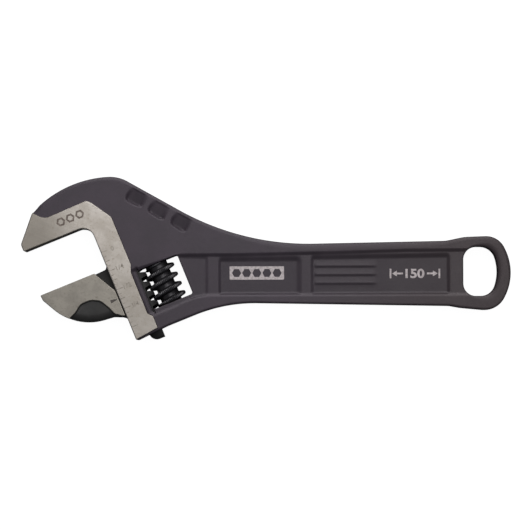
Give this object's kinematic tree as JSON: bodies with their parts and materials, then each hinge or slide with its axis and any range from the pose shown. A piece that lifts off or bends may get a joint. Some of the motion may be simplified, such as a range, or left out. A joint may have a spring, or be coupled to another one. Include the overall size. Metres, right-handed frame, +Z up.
{
  "type": "adjustable wrench",
  "caption": "Adjustable wrench with a black forged body, bright ground jaws, a sliding lower jaw moved by a knurl, and a handle ending in a hanging ring.",
  "frame": {"origin": "centre of the wrench's box, on the surface it lies on", "axes": "+X along the handle from the head to the hanging ring, +Y towards the back of the head, +Z up through the thickness"},
  "size_m": [0.1548, 0.0518, 0.0104],
  "materials": {
    "body_finish": "satin black forging finish, with ground steel lands",
    "jaw_steel": "ground, satin",
    "knurl_finish": "blackened, semi-gloss",
    "pin_steel": "blackened",
    "spring_steel": "bright"
  },
  "bodies": {
    "body": {"forged_body": "body_finish", "knurl_pin": "pin_steel", "knurl_spring": "spring_steel"},
    "jaw": {"movable_jaw": "jaw_steel"},
    "worm": {"knurl": "knurl_finish"}
  },
  "joints": [
    {"name": "jaw_slide", "type": "slide", "parent": "body", "child": "jaw", "axis": [0.3746, -0.9272, 0], "range_m": [-0.0145, 0.0109]},
    {"name": "knurl_spin", "type": "hinge", "parent": "body", "child": "worm", "pos_m": [-0.03222, -0.00787, 0.0052], "axis": [0.3746, -0.9272, 0], "range_deg": [-1240, 1648]}
  ],
  "couplings": [
    {"joint": "knurl_spin", "follows": "jaw_slide", "rad_per_m": -1979}
  ]
}
